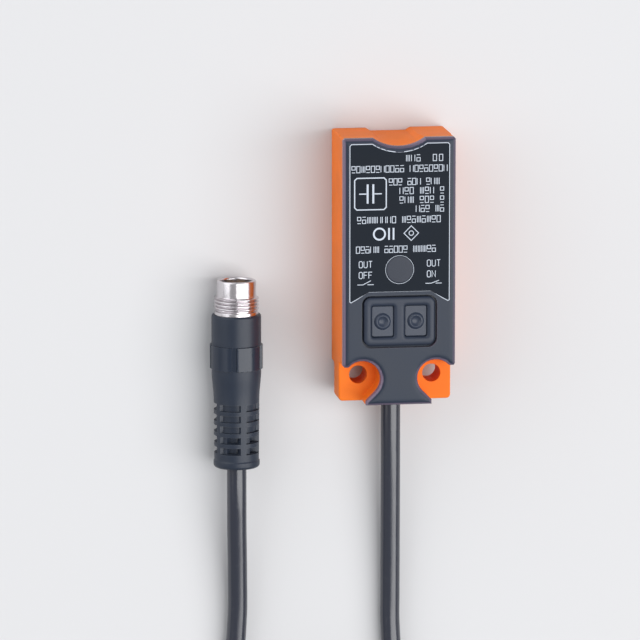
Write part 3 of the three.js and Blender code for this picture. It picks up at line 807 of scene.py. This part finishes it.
# %% Print
LETTER_HEIGHT = 1.12
LETTER_WIDTH = 0.6
LETTER_PITCH = 0.86
STAND_INS = [
    [((0, 0), (1, 0), (1, 1), (0, 1))],
    [((0, 0), (0, 1)), ((1, 0), (1, 1))],
    [((0.1, 0), (0.1, 1)), ((0.55, 0), (0.55, 1)), ((1, 0), (1, 1))],
    [((0, 0), (1, 0), (1, 0.55), (0, 0.55)), ((0, 1), (1, 1))],
    [((0, 1), (1, 1), (1, 0.45), (0, 0.45)), ((0, 0), (1, 0))],
]
LETTERS = {
    "O": [((0.25, 0), (0.75, 0), (1, 0.15), (1, 0.85), (0.75, 1), (0.25, 1), (0, 0.85), (0, 0.15))],
    "U": [((0, 1), (0, 0.15), (0.25, 0), (0.75, 0), (1, 0.15), (1, 1))],
    "T": [((0, 1), (1, 1)), ((0.5, 0.94), (0.5, 0))],
    "N": [((0, 0), (0, 1), (1, 0), (1, 1))],
    "F": [((1, 1), (0, 1), (0, 0)), ((0.12, 0.52), (0.8, 0.52))],
}
PRINT_ROWS = [  # left end, right end, height and after how many characters a gap comes
    (1.1, 3.6, 20.2, 7),
    (5.9, 7.6, 20.2, 7),
    (-8.5, 8.4, 18.35, 12),
    (-1.9, 7.8, 16.05, 4),
    (0, 7.8, 14.44, 4),
    (0, 7.8, 12.83, 4),
    (2.9, 7.8, 11.22, 4),
    (-7.5, 7.2, 9.35, 9),
    (-7.7, 7.2, 4.1, 6),
]
draw = random.Random(7)


def character(bm, strokes, x, y):
    """Draws a character's strokes. Those of four or eight points are loops, except in an N."""
    for points in strokes:
        placed = [(x + px * LETTER_WIDTH, y + (py - 0.5) * LETTER_HEIGHT) for px, py in points]
        stroke(bm, placed, closed=len(points) in (4, 8) and strokes != LETTERS["N"])


def stand_in_row(bm, left, right, y, gap_every):
    """Boxes and bars from `left` to `right`, with a gap now and then as between words."""
    count = round((right - left - LETTER_WIDTH) / LETTER_PITCH)
    pitch = (right - left - LETTER_WIDTH) / max(1, count)
    for number in range(count + 1):
        shape = draw.choice(STAND_INS)
        if number % gap_every != gap_every - 1:
            character(bm, shape, left + number * pitch, y)


def word(bm, text, left, y):
    for number, letter in enumerate(text):
        character(bm, LETTERS[letter], left + number * LETTER_PITCH, y)


print_bm = bmesh.new()
for left, right, y, gap_every in PRINT_ROWS:
    stand_in_row(print_bm, left, right, y, gap_every)
print("rows of print:", len(PRINT_ROWS), "with", len(print_bm.faces), "faces")

# %% [markdown]
# The fine line round the label dips under the scoop in an arc round the scoop's own centre, and steps
# in above the keys. The signs are drawn from a few points each, and two short words stand over each
# key with the symbol of a switch.

# %% Frame line, signs and words
LINE_WIDTH = 0.13
SYMBOL_WIDTH = 0.12
THIN_WIDTH = 0.14
LEAD_WIDTH = 0.2
BOLD_WIDTH = 0.3
PLATE_WIDTH = 0.34
FRAME_LOW_Y = -5.26
FRAME_STEP_Y = -3.5
FRAME_X = 8.84
FRAME_TOP_Y = 22.78
FRAME_CORNER = 0.3
DIP_RADIUS = 8.75
WINDOW_PLACE = (0, 0.45)
RING_PLACE = (-3.6, 6.85)
DIAMOND_PLACE = (2.05, 6.9)
DIAMOND_HALF = 1.3
SWITCH_Y = -2.1


def cut_corner_box(left, low, right, high, corner):
    """The eight points of a box with cut corners."""
    xs = (left, left + corner, right - corner, right, right, right - corner, left + corner, left)
    ys = (low + corner, low, low, low + corner, high - corner, high, high, high - corner)
    return list(zip(xs, ys))


def frame_line():
    """The outline of the label's fine pale line, counter-clockwise from its lower left."""
    half_angle = math.degrees(math.acos((scoop_centre.y - FRAME_TOP_Y) / DIP_RADIUS))
    side_y = (FRAME_LOW_Y + 0.16, FRAME_TOP_Y - FRAME_CORNER)
    return [
        (-8.6, FRAME_LOW_Y),
        (-5.45, FRAME_STEP_Y),
        (5.45, FRAME_STEP_Y),
        (8.6, FRAME_LOW_Y),
        (FRAME_X, side_y[0]),
        (FRAME_X, side_y[1]),
        (FRAME_X - FRAME_CORNER, FRAME_TOP_Y),
        *arc((0, scoop_centre.y), DIP_RADIUS, 270 + half_angle, 270 - half_angle, 16),
        (-FRAME_X + FRAME_CORNER, FRAME_TOP_Y),
        (-FRAME_X, side_y[1]),
        (-FRAME_X, side_y[0]),
    ]


def plate_symbol(bm):
    """Two plates with a lead each, in a box: the sign of a capacitor."""
    stroke(bm, cut_corner_box(-8, 11.2, -2.4, 16.8, 0.4), LEAD_WIDTH, closed=True)
    for plate_x, lead_from, lead_to in ((-5.7, -7.2, -5.9), (-4.7, -3.2, -4.5)):
        stroke(bm, [(plate_x, 12.3), (plate_x, 15.7)], PLATE_WIDTH)
        stroke(bm, [(lead_from, 14), (lead_to, 14)], LEAD_WIDTH)


def diamond(bm, centre, half):
    x, y = centre
    stroke(bm, [(x - half, y), (x, y + half), (x + half, y), (x, y - half)], THIN_WIDTH, closed=True)
    ring(bm, centre, 0.4, THIN_WIDTH)


stroke(print_bm, frame_line(), LINE_WIDTH, closed=True)
ring(print_bm, WINDOW_PLACE, 2.5, 0.07)
plate_symbol(print_bm)
ring(print_bm, RING_PLACE, 1, BOLD_WIDTH)
for bar_x in (-1.9, -1.1):
    stroke(print_bm, [(bar_x, 5.8), (bar_x, 7.9)], BOLD_WIDTH)
diamond(print_bm, DIAMOND_PLACE, DIAMOND_HALF)
for left, state, throw in ((-7.2, "OFF", 0.72), (4.9, "ON", 0.5)):
    word(print_bm, "OUT", left, 1.5)
    word(print_bm, state, left, -0.42)
    lever = [(left - 0.3, SWITCH_Y), (left + 0.7, SWITCH_Y), (left + 2.1, SWITCH_Y + throw)]
    stroke(print_bm, lever, SYMBOL_WIDTH)
    stroke(print_bm, [(left + 1.5, SWITCH_Y), (left + 2.6, SWITCH_Y)], SYMBOL_WIDTH)
bmesh.ops.recalc_face_normals(print_bm, faces=print_bm.faces)
ink = moulded("label ink", (0.5, 0.55, 0.63), 0.5, grain=0.06, depth=0.001, polish=0)
label_print = add_piece("label_print", print_bm, "label_foil")
label_print.data.materials[0] = ink.material

# %% [markdown]
# ## Bodies of revolution
#
# Window, nubs, sleeve, grip and pins are all round, and are built ring by ring from a profile. Each
# profile point is an (along, radius) pair, and a `shape` function may change the radius with the angle,
# which is how thread, pads and slots come into the same clean grid of quads. Cutting them out with
# booleans would leave long thin triangles that shade badly.


# %% Round bodies
PLUG_X = -27.7
PLUG_Z = 4.7


def round_body(bm, profile, place, sides=64, shape=None, looped=False):
    """Rings of quads along `profile`; a radius of 0 makes a pole. `place` turns it into (x, y, z)."""
    rings = []
    for along, radius in profile:
        if radius == 0:
            rings.append([bm.verts.new(place(along, 0, 0) * MM)] * sides)
            continue
        verts = []
        for side in range(sides):
            angle = 2 * math.pi * side / sides
            wanted = shape(along, radius, angle) if shape else radius
            verts.append(bm.verts.new(place(along, wanted, angle) * MM))
        rings.append(verts)
    pairs = list(zip(rings, rings[1:])) + ([(rings[-1], rings[0])] if looped else [])
    for ring_a, ring_b in pairs:
        for side in range(sides):
            after = (side + 1) % sides
            corners = dict.fromkeys((ring_a[side], ring_a[after], ring_b[after], ring_b[side]))
            if len(corners) > 2:
                bm.faces.new(list(corners))
    bmesh.ops.recalc_face_normals(bm, faces=bm.faces)
    return bm


def upright(x, y):
    """A `place` for a round body whose axis stands along Z."""

    def place(along, radius, angle):
        return Vector((x + radius * math.cos(angle), y + radius * math.sin(angle), along))

    return place


def lying(x, z):
    """A `place` along the plug from its mouth; the angle counts from the top towards the left."""

    def place(along, radius, angle):
        across = radius * math.sin(angle)
        return Vector((x - across, PLUG_MOUTH_Y - along, z + radius * math.cos(angle)))

    return place


print("the plug's axis is at", (PLUG_X, PLUG_Z))

# %% [markdown]
# ## Indicator window
#
# A round window of smoke-grey plastic over the light guide. Its face is very slightly domed and its rim
# rounded, so that it shows as a disc even though it is almost as dark as the label.

# %% Indicator window
WINDOW_PROFILE = [  # height and radius
    (13.35, 0), (13.35, 2.4), (13.86, 2.4), (13.93, 2.37), (13.965, 2.3),
    (13.975, 2.15), (13.985, 1.4), (13.99, 0.6), (13.99, 0),
]
window = round_body(bmesh.new(), WINDOW_PROFILE, upright(*WINDOW_PLACE))
add_piece("indicator_window", window, "smoke_window", stands_for=["led_window"])

# %% [markdown]
# ## Keypad
#
# The frame round the keys is soft rubber: it swells up from its groove like a cushion and rolls over
# into the two recesses. The same trick as on the cover shapes it, with a distance to a rounded box in
# place of the cover's outline. Each key is a small plate with a crater-shaped nub, so that a fingertip
# can feel it. The nub is turned from a profile with a flared foot, and sits in the plate.

# %% Keypad frame
KEYPAD_Y = -8.78
KEY_X = 2.95
PAD_TOP = 14
PAD_TOP_FROM = PAD_TOP - 0.4
PAD_PITCH = 0.16
PAD_HALF = (6.37, 4.35)
PAD_CORNER = 1.3
WELL_HALF = (1.95, 2.75)  # of the recess round each key
WELL_CORNER = 0.3
RIM_ROLL = (0.8, 0.38)  # width and height
WELL_ROLL = (0.7, 0.45)


def box_depth(x, y, half_x, half_y, corner):
    """How far inside a rounded box round the origin a point is; below 0 outside it."""
    over_x = abs(x) - half_x + corner
    over_y = abs(y) - half_y + corner
    return corner - math.hypot(max(over_x, 0), max(over_y, 0)) - min(max(over_x, over_y), 0)


def on_pad_top(face):
    return face.normal.z > 0.3 and face.calc_center_median().z > PAD_TOP_FROM * MM


pad_frame = copy_of("keypad_frame")
cut_grid(pad_frame, on_pad_top, PAD_PITCH)
for vert in pad_frame.verts:
    x, y, z = vert.co / MM
    if z > PAD_TOP_FROM:
        from_rim = box_depth(x, y - KEYPAD_Y, *PAD_HALF, PAD_CORNER)
        from_key = -box_depth(abs(x) - KEY_X, y - KEYPAD_Y, *WELL_HALF, WELL_CORNER)
        drop = rounded_drop(max(0, from_rim), *RIM_ROLL) + rounded_drop(max(0, from_key), *WELL_ROLL)
        vert.co.z = (PAD_TOP - drop) * MM
add_piece("keypad_cushion", pad_frame, "keypad_rubber", stands_for=["keypad_frame"])

# %% [markdown]
# The keys sink with their actuators, so each key is one piece on its own body. Its plate fills the
# recess almost without a gap, as the rubber membrane does on the real thing, and the nub's foot flares
# out into the plate so that no hard ring shows round it.

# %% Keys
KEY_TOP = 13.5
KEY_GROWTH = Vector((0.08, 0.08, 0)) * MM  # the key almost touches the frame round it
KEY_CORNER = 0.35
KEY_RIM = 0.12
NUB = [  # height over the plate and radius: the foot, the outside, the crest and the crater
    (-0.1, 0), (-0.1, 1.6), (-0.02, 1.62), (0.01, 1.5),
    (0.06, 1.42), (0.16, 1.36), (0.27, 1.29), (0.36, 1.18),
    (0.4, 1.04), (0.38, 0.94),
    (0.28, 0.83), (0.15, 0.7), (0.06, 0.52), (0.02, 0.28), (0.01, 0),
]
nub_profile = [(KEY_TOP + height, radius) for height, radius in NUB]
for side, sign in (("left", -1), ("right", 1)):
    key = bmesh.new()
    low, high = [corner.copy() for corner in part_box(f"key_{side}")]
    high.z = KEY_TOP * MM
    low -= KEY_GROWTH
    high += KEY_GROWTH
    bmesh.ops.create_cube(key, size=1)
    for vert in key.verts:
        vert.co = Vector([(a + b) / 2 + c * (b - a) for a, b, c in zip(low, high, vert.co)])
    upright_edges = [e for e in key.edges if abs((e.verts[0].co - e.verts[1].co).z) > 0.1 * MM]
    bevel(key, upright_edges, KEY_CORNER, 3)
    bevel(key, edges_above(key, KEY_TOP - 0.01), KEY_RIM, 3)
    round_body(key, nub_profile, upright(sign * KEY_X, KEYPAD_Y), sides=48)
    soft_key = add_piece(f"soft_key_{side}", key, "keypad_rubber", f"key_{side}", [f"key_{side}"])
    soft_key.data.materials[0] = finishes["key_face"]

# %% [markdown]
# ## Plug sleeve, insert and pins
#
# The sleeve is turned brass with a short external thread. The thread is a real helix: the groove's
# phase moves on by one pitch per turn, and the thread starts at an angle of its own, as it does under
# a die. In the sleeve's mouth sits a black insert, and four gold pins stand out of it without reaching
# the rim.

# %% Sleeve
THREAD_PITCH = 0.62
THREAD_CREST = 4.0
THREAD_DEPTH = 0.36
THREAD_ROOT = 3.56  # before the thread starts and after it ends
THREAD_START = 3
THREAD_END = 5.45
FIRST_GROOVE = 3.38
TIP_RADIUS = 3.5
COLLAR_RADIUS = 3.9
BORE_RADIUS = 2.75


def threaded(along, radius, angle):
    """Cuts the groove into the rings at crest radius, and lets it fade in and out at both ends."""
    if radius != THREAD_CREST:
        return radius
    turn = (angle / (2 * math.pi) + 0.5) % 1 - 0.5
    groove = 0.5 + 0.5 * math.cos(2 * math.pi * ((along - FIRST_GROOVE) / THREAD_PITCH + turn))
    crest = THREAD_CREST - THREAD_DEPTH * groove**1.6
    start = smooth_step((along - (THREAD_START - 0.25 * turn) + 0.1) / 0.16)
    end = smooth_step((THREAD_END - 0.14 - along) / 0.12)
    return THREAD_ROOT + (crest - THREAD_ROOT) * min(start, end)


sleeve_profile = [  # the bore, the rounded mouth, the tip, the thread and the collar
    (9.5, BORE_RADIUS), (0.4, BORE_RADIUS),
    (0.14, 2.84), (0.03, 2.98), (0, 3.14), (0.03, 3.3), (0.12, 3.42),
    (0.26, TIP_RADIUS), (2.7, TIP_RADIUS),
    *((2.74 + 0.05 * step, THREAD_CREST) for step in range(55)),
    (5.5, 3.72), (5.56, 3.84), (5.64, COLLAR_RADIUS), (9.4, COLLAR_RADIUS), (9.5, 3.8),
]
along_plug = lying(PLUG_X, PLUG_Z)
sleeve = round_body(bmesh.new(), sleeve_profile, along_plug, 96, threaded, looped=True)
add_piece("threaded_sleeve", sleeve, "nickel", stands_for=["plug_sleeve"])

# %% [markdown]
# The insert keeps the frame's shape with softened edges. The pins are turned from a profile with a
# round nose, since a flat-ended pin would not find its hole, and one loop makes all four from the
# boxes of the frame's pins.

# %% Insert and pins
INSERT_ROUND = 0.07
insert = copy_of("plug_insert")
bevel(insert, sharp_edges(insert), INSERT_ROUND)
add_piece("pin_insert", insert, "black_plastic", stands_for=["plug_insert"])
for number in range(1, 5):
    low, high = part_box(f"plug_pin_{number}")
    middle = (low + high) / 2 / MM
    radius = (high.x - low.x) / 2 / MM
    tip = PLUG_MOUTH_Y - high.y / MM
    heel = PLUG_MOUTH_Y - low.y / MM
    profile = [
        (tip, 0), (tip + 0.02, radius * 0.3), (tip + 0.12, radius * 0.65), (tip + 0.35, radius * 0.92),
        (tip + 0.6, radius), (heel - 0.1, radius), (heel, radius * 0.8), (heel, 0),
    ]
    pin = round_body(bmesh.new(), profile, lying(middle.x, middle.z), sides=24)
    add_piece(f"contact_pin_{number}", pin, "gold", stands_for=[f"plug_pin_{number}"])

# %% [markdown]
# ## Plug grip
#
# The grip is moulded over the sleeve and the cord. It has a band of five smooth pads for the fingers
# and a strain relief with five rows of five slots, which lets the tail bend. All of it is one grid of
# rings: each ring's radius is the plain profile, less the depth of whatever is cut in at that place.
# The rings lie close together at the edges of pads and slots, where the radius changes fast.

# %% Grip
PAD_RADIUS = 4.7
NOSE_RADIUS = 4.4
REPEAT = 72  # degrees from one pad or slot to the next
GAP_ANGLE = 12  # the middle of the first gap between two pads
GAP_HALF = 5.5
SLOT_ANGLE = 25
SLOT_HALF = 27
HOLE_ANGLE = 19
HOLE_HALF = 17
SLOT_FROM = 21.95
SLOT_PITCH = 1.94
SLOT_LENGTH = 1.15
SLOT_ROWS = 5
SLOT_DEPTH = 0.5
ROW_MARGIN = 0.3
FIRST_HOLE_ROW = 3  # from here on a deeper hole lies in each slot
HOLE_INSET = 0.1
HOLE_DEPTH = 0.8
GRIP_LENGTH = 33.6
NOSE_LENGTH = 10
COLLAR_LENGTH = 1.6
GRIP_BORE = 3.93
TAPER_FROM = 16.2
STEP_LENGTH = 0.07
PAD_STEP_LENGTH = 0.12
STEP_ANGLE = 1.4
TAIL = [  # distance before the end and radius: the collar, its round, and the cord's hole
    (1.52, 3.95), (1.4, 3.98), (1.28, 4.07), (1.16, 4.1), (0.55, 4.1),
    (0.35, 4.04), (0.15, 3.88), (0.04, 3.65), (0, 3.4), (0, 2.1),
    (0.1, 1.9), (0.3, 1.82), (2.5, 1.82), (2.5, 0),
]


def window_share(value, low, high, soft=STEP_LENGTH):
    """1 between `low` and `high`, 0 outside, with soft steps of `soft`."""
    return smooth_step((value - low) / soft + 0.5) * smooth_step((high - value) / soft + 0.5)


def off_centre(angle, centre):
    """Degrees from the nearest of five even places, the first of them at `centre`."""
    return abs((math.degrees(angle) - centre + REPEAT / 2) % REPEAT - REPEAT / 2)


def angle_share(angle, centre, half):
    """1 within `half` degrees of the nearest even place, 0 outside, with a soft step."""
    return smooth_step((half - off_centre(angle, centre)) / STEP_ANGLE + 0.5)


def grip_radius(along, radius, angle):
    """The plain radius with pads added and slots taken away; nose, bore and collar stay plain."""
    if along < NOSE_LENGTH or along > GRIP_LENGTH - COLLAR_LENGTH or radius < GRIP_BORE - 0.03:
        return radius
    pad = window_share(along, PAD_FROM, PAD_TO, PAD_STEP_LENGTH)
    gap = angle_share(angle, GAP_ANGLE, GAP_HALF)
    radius += (PAD_RADIUS - NOSE_RADIUS) * pad * (1 - gap)
    row = int((along - SLOT_FROM + ROW_MARGIN) / SLOT_PITCH)
    if 0 <= row < SLOT_ROWS and along > SLOT_FROM - ROW_MARGIN:
        low = SLOT_FROM + row * SLOT_PITCH
        slot = window_share(along, low, low + SLOT_LENGTH)
        slot *= angle_share(angle, SLOT_ANGLE, SLOT_HALF)
        radius -= SLOT_DEPTH * slot
        if row >= FIRST_HOLE_ROW:
            hole = window_share(along, low + HOLE_INSET, low + SLOT_LENGTH - HOLE_INSET)
            hole *= angle_share(angle, HOLE_ANGLE, HOLE_HALF)
            radius -= HOLE_DEPTH * hole
    return radius


def plain_grip(along):
    """The radius between the nose and the tail collar."""
    if along < TAPER_FROM:
        return NOSE_RADIUS
    shoulder = 0.35 * smooth_step((along - TAPER_FROM) / 5)
    return NOSE_RADIUS - shoulder - 0.008 * max(0, along - 21)


stations = {6.5, 9, 10.5, TAPER_FROM, 17, 18, 19, 20, 21, 31.5}
for edge in (PAD_FROM, PAD_TO):
    stations |= {round(edge + step * 0.03, 3) for step in range(-2, 3)}
for row in range(SLOT_ROWS):
    slot_low = SLOT_FROM + row * SLOT_PITCH
    for edge in (slot_low, slot_low + SLOT_LENGTH):
        stations |= {round(edge + step, 3) for step in (-0.06, -0.035, 0, 0.035, 0.06)}
    for edge in (slot_low + HOLE_INSET, slot_low + SLOT_LENGTH - HOLE_INSET):
        stations |= {round(edge + step, 3) for step in (-0.035, 0, 0.035)}
grip_profile = [
    (9.3, 0), (9.3, GRIP_BORE), (6.1, GRIP_BORE), (6.1, 4.1), (6.15, 4.24), (6.28, 4.35),
    *((station, plain_grip(station)) for station in sorted(stations)),
    *((GRIP_LENGTH - before, radius) for before, radius in TAIL),
]
grip = round_body(bmesh.new(), grip_profile, along_plug, 180, grip_radius)
add_piece("moulded_grip", grip, "plug_plastic", stands_for=["plug_grip"])

# %% [markdown]
# ## Cable tie
#
# A strap round the wound-up cord keeps the turns together. It is the frame's solid with rounded edges,
# because a moulded strap has soft corners, and it lies outside the main view.

# %% Cable tie
TIE_ROUND = 0.15
tie = copy_of("cable_tie")
bevel(tie, sharp_edges(tie), TIE_ROUND)
add_piece("tie_strap", tie, "black_plastic", stands_for=["cable_tie"])

# %% [markdown]
# ## Finishing the cord
#
# The cord is soft, but here it only gets the jacket's finish and rides on the housing's body, and the
# frame's own cable runs are hidden. The plug's pieces and the tie are only gathered in a list by name.

# %% Finish the cord
cord.data.materials.append(finishes["cable_jacket"])
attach(cord, "housing")
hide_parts("cable_run_sensor", "cable_coil", "cable_run_plug")
plug_names = ["moulded_grip", "threaded_sleeve", "pin_insert", "tie_strap"]
plug_names += [f"contact_pin_{number}" for number in range(1, 5)]
